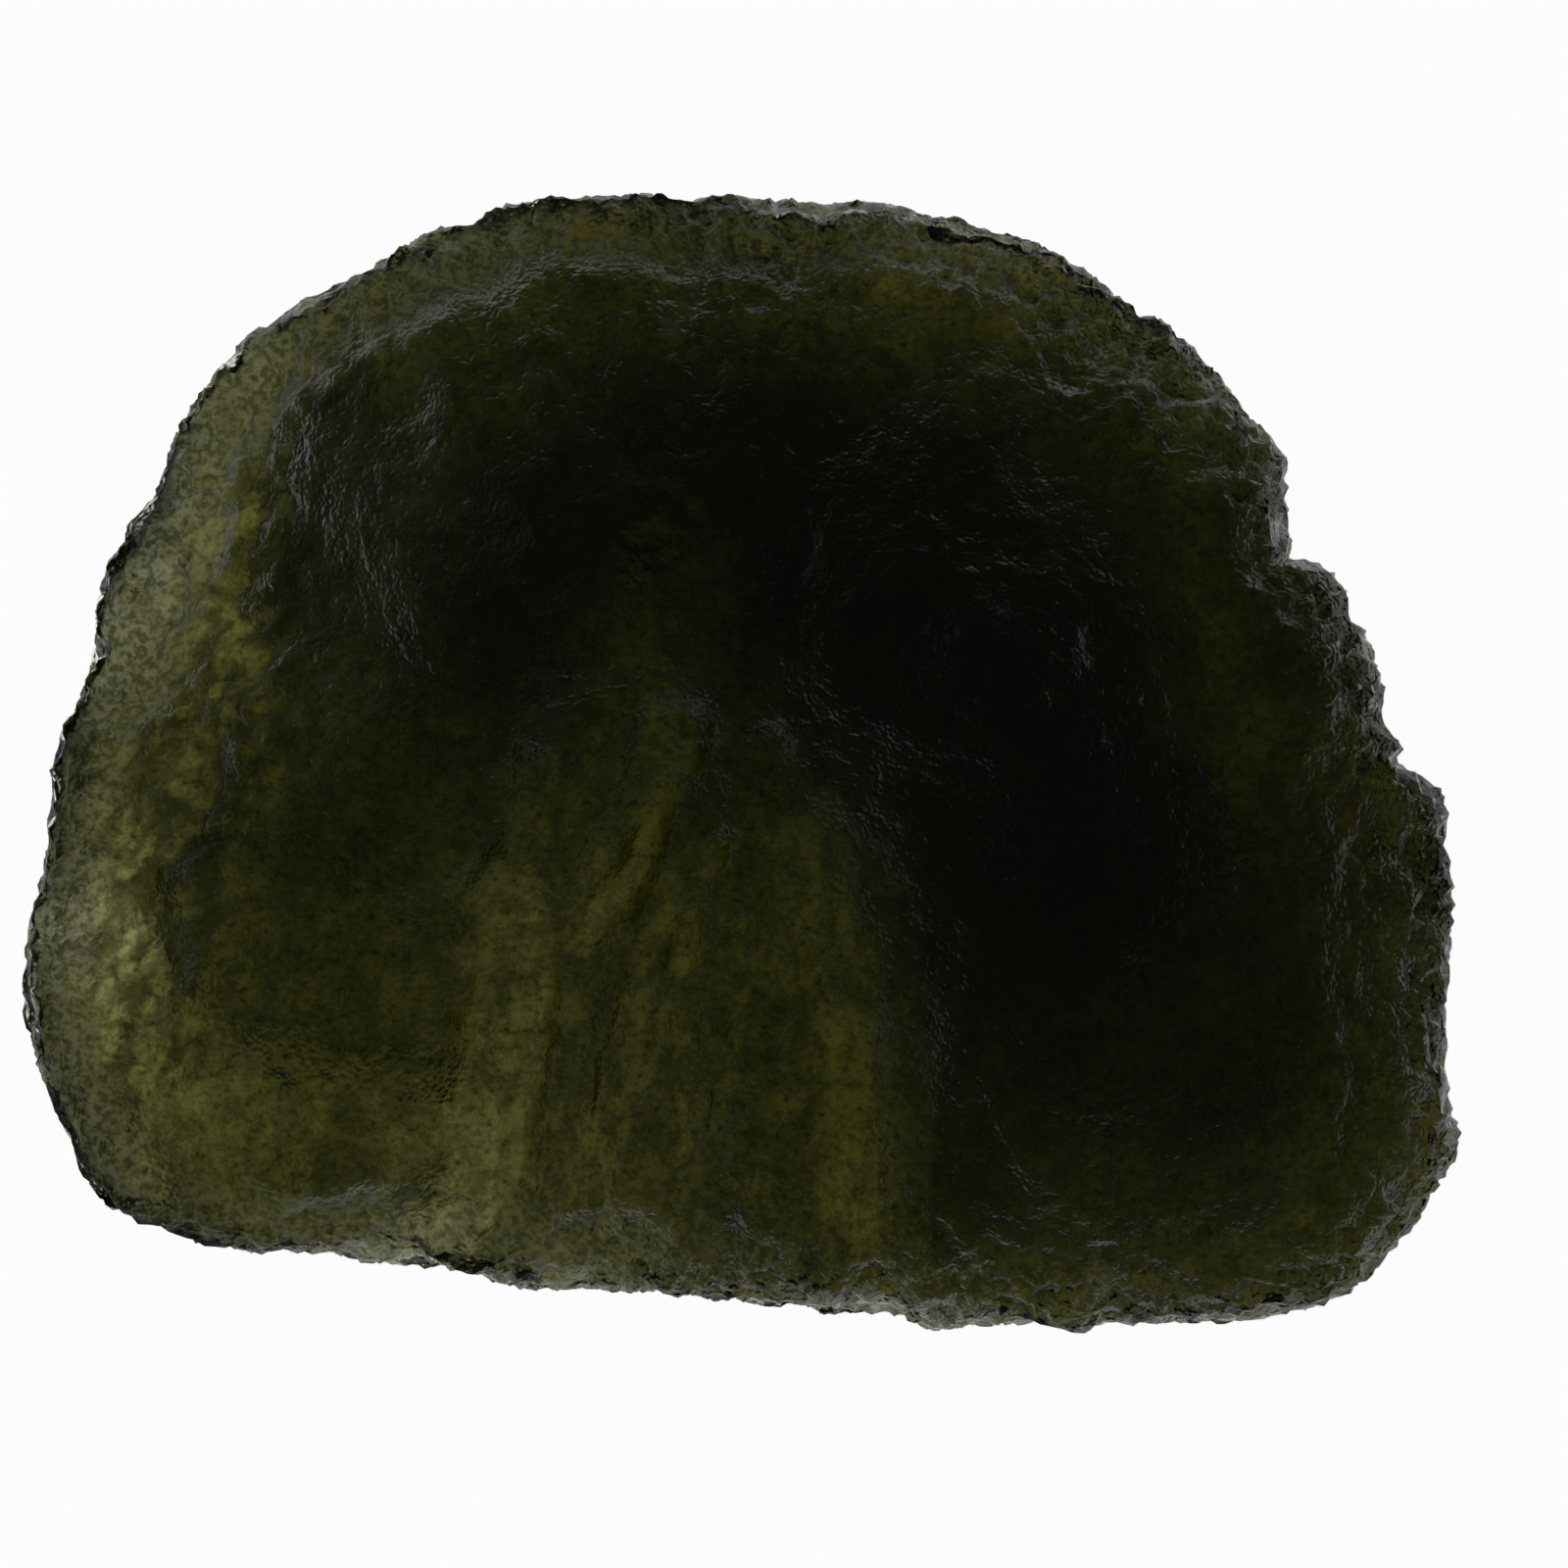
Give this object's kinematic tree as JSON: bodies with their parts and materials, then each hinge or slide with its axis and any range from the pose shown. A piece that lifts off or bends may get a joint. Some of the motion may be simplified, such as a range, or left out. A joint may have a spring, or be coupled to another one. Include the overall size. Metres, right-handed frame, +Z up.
{
  "type": "raw moldavite",
  "caption": "Raw D-shaped lump of see-through olive-green natural glass, etched and pitted all over, with a fan-shaped grooved hollow in its upper face.",
  "frame": {"origin": "on the rest plane, under the middle of the bounding box", "axes": "+Z up, out of the grooved face; +X along the straight edge, which faces -Y, towards the thick corner; +Y towards the arched edge"},
  "size_m": [0.03, 0.0238, 0.01],
  "materials": {
    "moldavite_glass": "waxy, finely etched natural surface with greyer frosted edges; olive-green, see-through where thin and nearly black where thick"
  },
  "bodies": {
    "root": {"moldavite": "moldavite_glass"}
  },
  "joints": []
}
